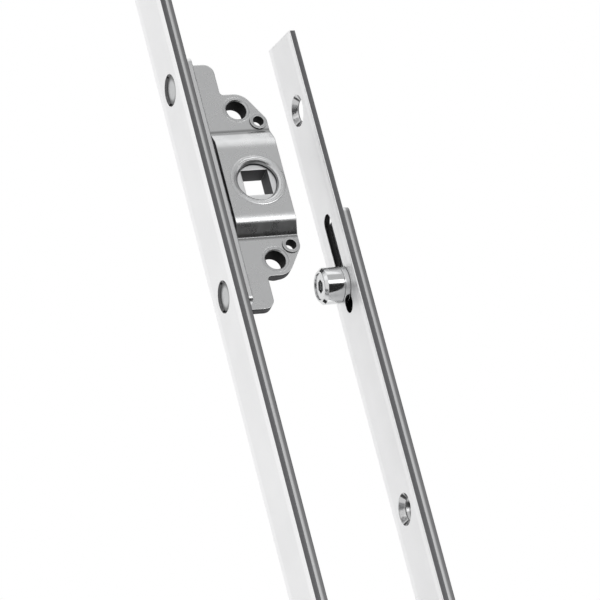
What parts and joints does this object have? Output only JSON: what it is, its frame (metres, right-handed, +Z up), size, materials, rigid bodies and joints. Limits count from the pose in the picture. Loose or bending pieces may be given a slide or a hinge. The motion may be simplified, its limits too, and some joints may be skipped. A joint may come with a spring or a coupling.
{
  "type": "espagnolette window lock",
  "caption": "Espagnolette lock in lengths: a gearbox in a pressed case turns a handle's quarter turn into travel of flat rods behind steel faceplates, moving a roller cam.",
  "frame": {"origin": "on the axis of the handle's spindle, in the faceplates' middle plane", "axes": "+Z up along the faceplates, +X along the spindle towards the handle's side, +Y into the sash"},
  "size_m": [0.016, 0.0362, 0.248],
  "materials": {
    "faceplate": "bright zinc-plated steel, satin",
    "rod": "zinc-plated steel, satin",
    "case": "galvanised sheet steel, dull satin",
    "hub": "sintered steel, zinc plated",
    "fastener": "zinc-plated steel",
    "cam": "bright nickel-plated steel"
  },
  "bodies": {
    "lock_case": {"gearbox_faceplate": "faceplate", "case_base_strip": "case", "case_front_shell": "case", "case_back_shell": "case", "handle_screw_bush_upper": "fastener", "handle_screw_bush_lower": "fastener", "case_eyelet_upper": "fastener", "case_eyelet_lower": "fastener", "fixing_stud_upper": "fastener", "fixing_stud_lower": "fastener", "end_faceplate": "faceplate"},
    "pinion": {"pinion": "hub"},
    "gearbox_rod": {"gearbox_drive_rod": "rod", "drive_rack": "rod"},
    "end_rod": {"end_drive_rod": "rod", "cam_stud": "cam", "cam_collar": "cam"},
    "cam_roller": {"cam_roller": "cam"}
  },
  "joints": [
    {"name": "rod_travel", "type": "slide", "parent": "lock_case", "child": "gearbox_rod", "axis": [0, 0, 1], "range_m": [0, 0.01715]},
    {"name": "handle_turn", "type": "hinge", "parent": "lock_case", "child": "pinion", "pos_m": [0, 0, 0], "axis": [-1, 0, 0], "range_deg": [0, 90]},
    {"name": "end_rod_travel", "type": "slide", "parent": "lock_case", "child": "end_rod", "axis": [0, 0, 1], "range_m": [0, 0.01715]},
    {"name": "cam_spin", "type": "hinge", "parent": "end_rod", "child": "cam_roller", "pos_m": [0, 0.0132, -0.0287], "axis": [0, -1, 0], "continuous": true}
  ],
  "couplings": [
    {"joint": "handle_turn", "follows": "rod_travel", "rad_per_m": 91.575},
    {"joint": "end_rod_travel", "follows": "rod_travel", "ratio": 1}
  ]
}
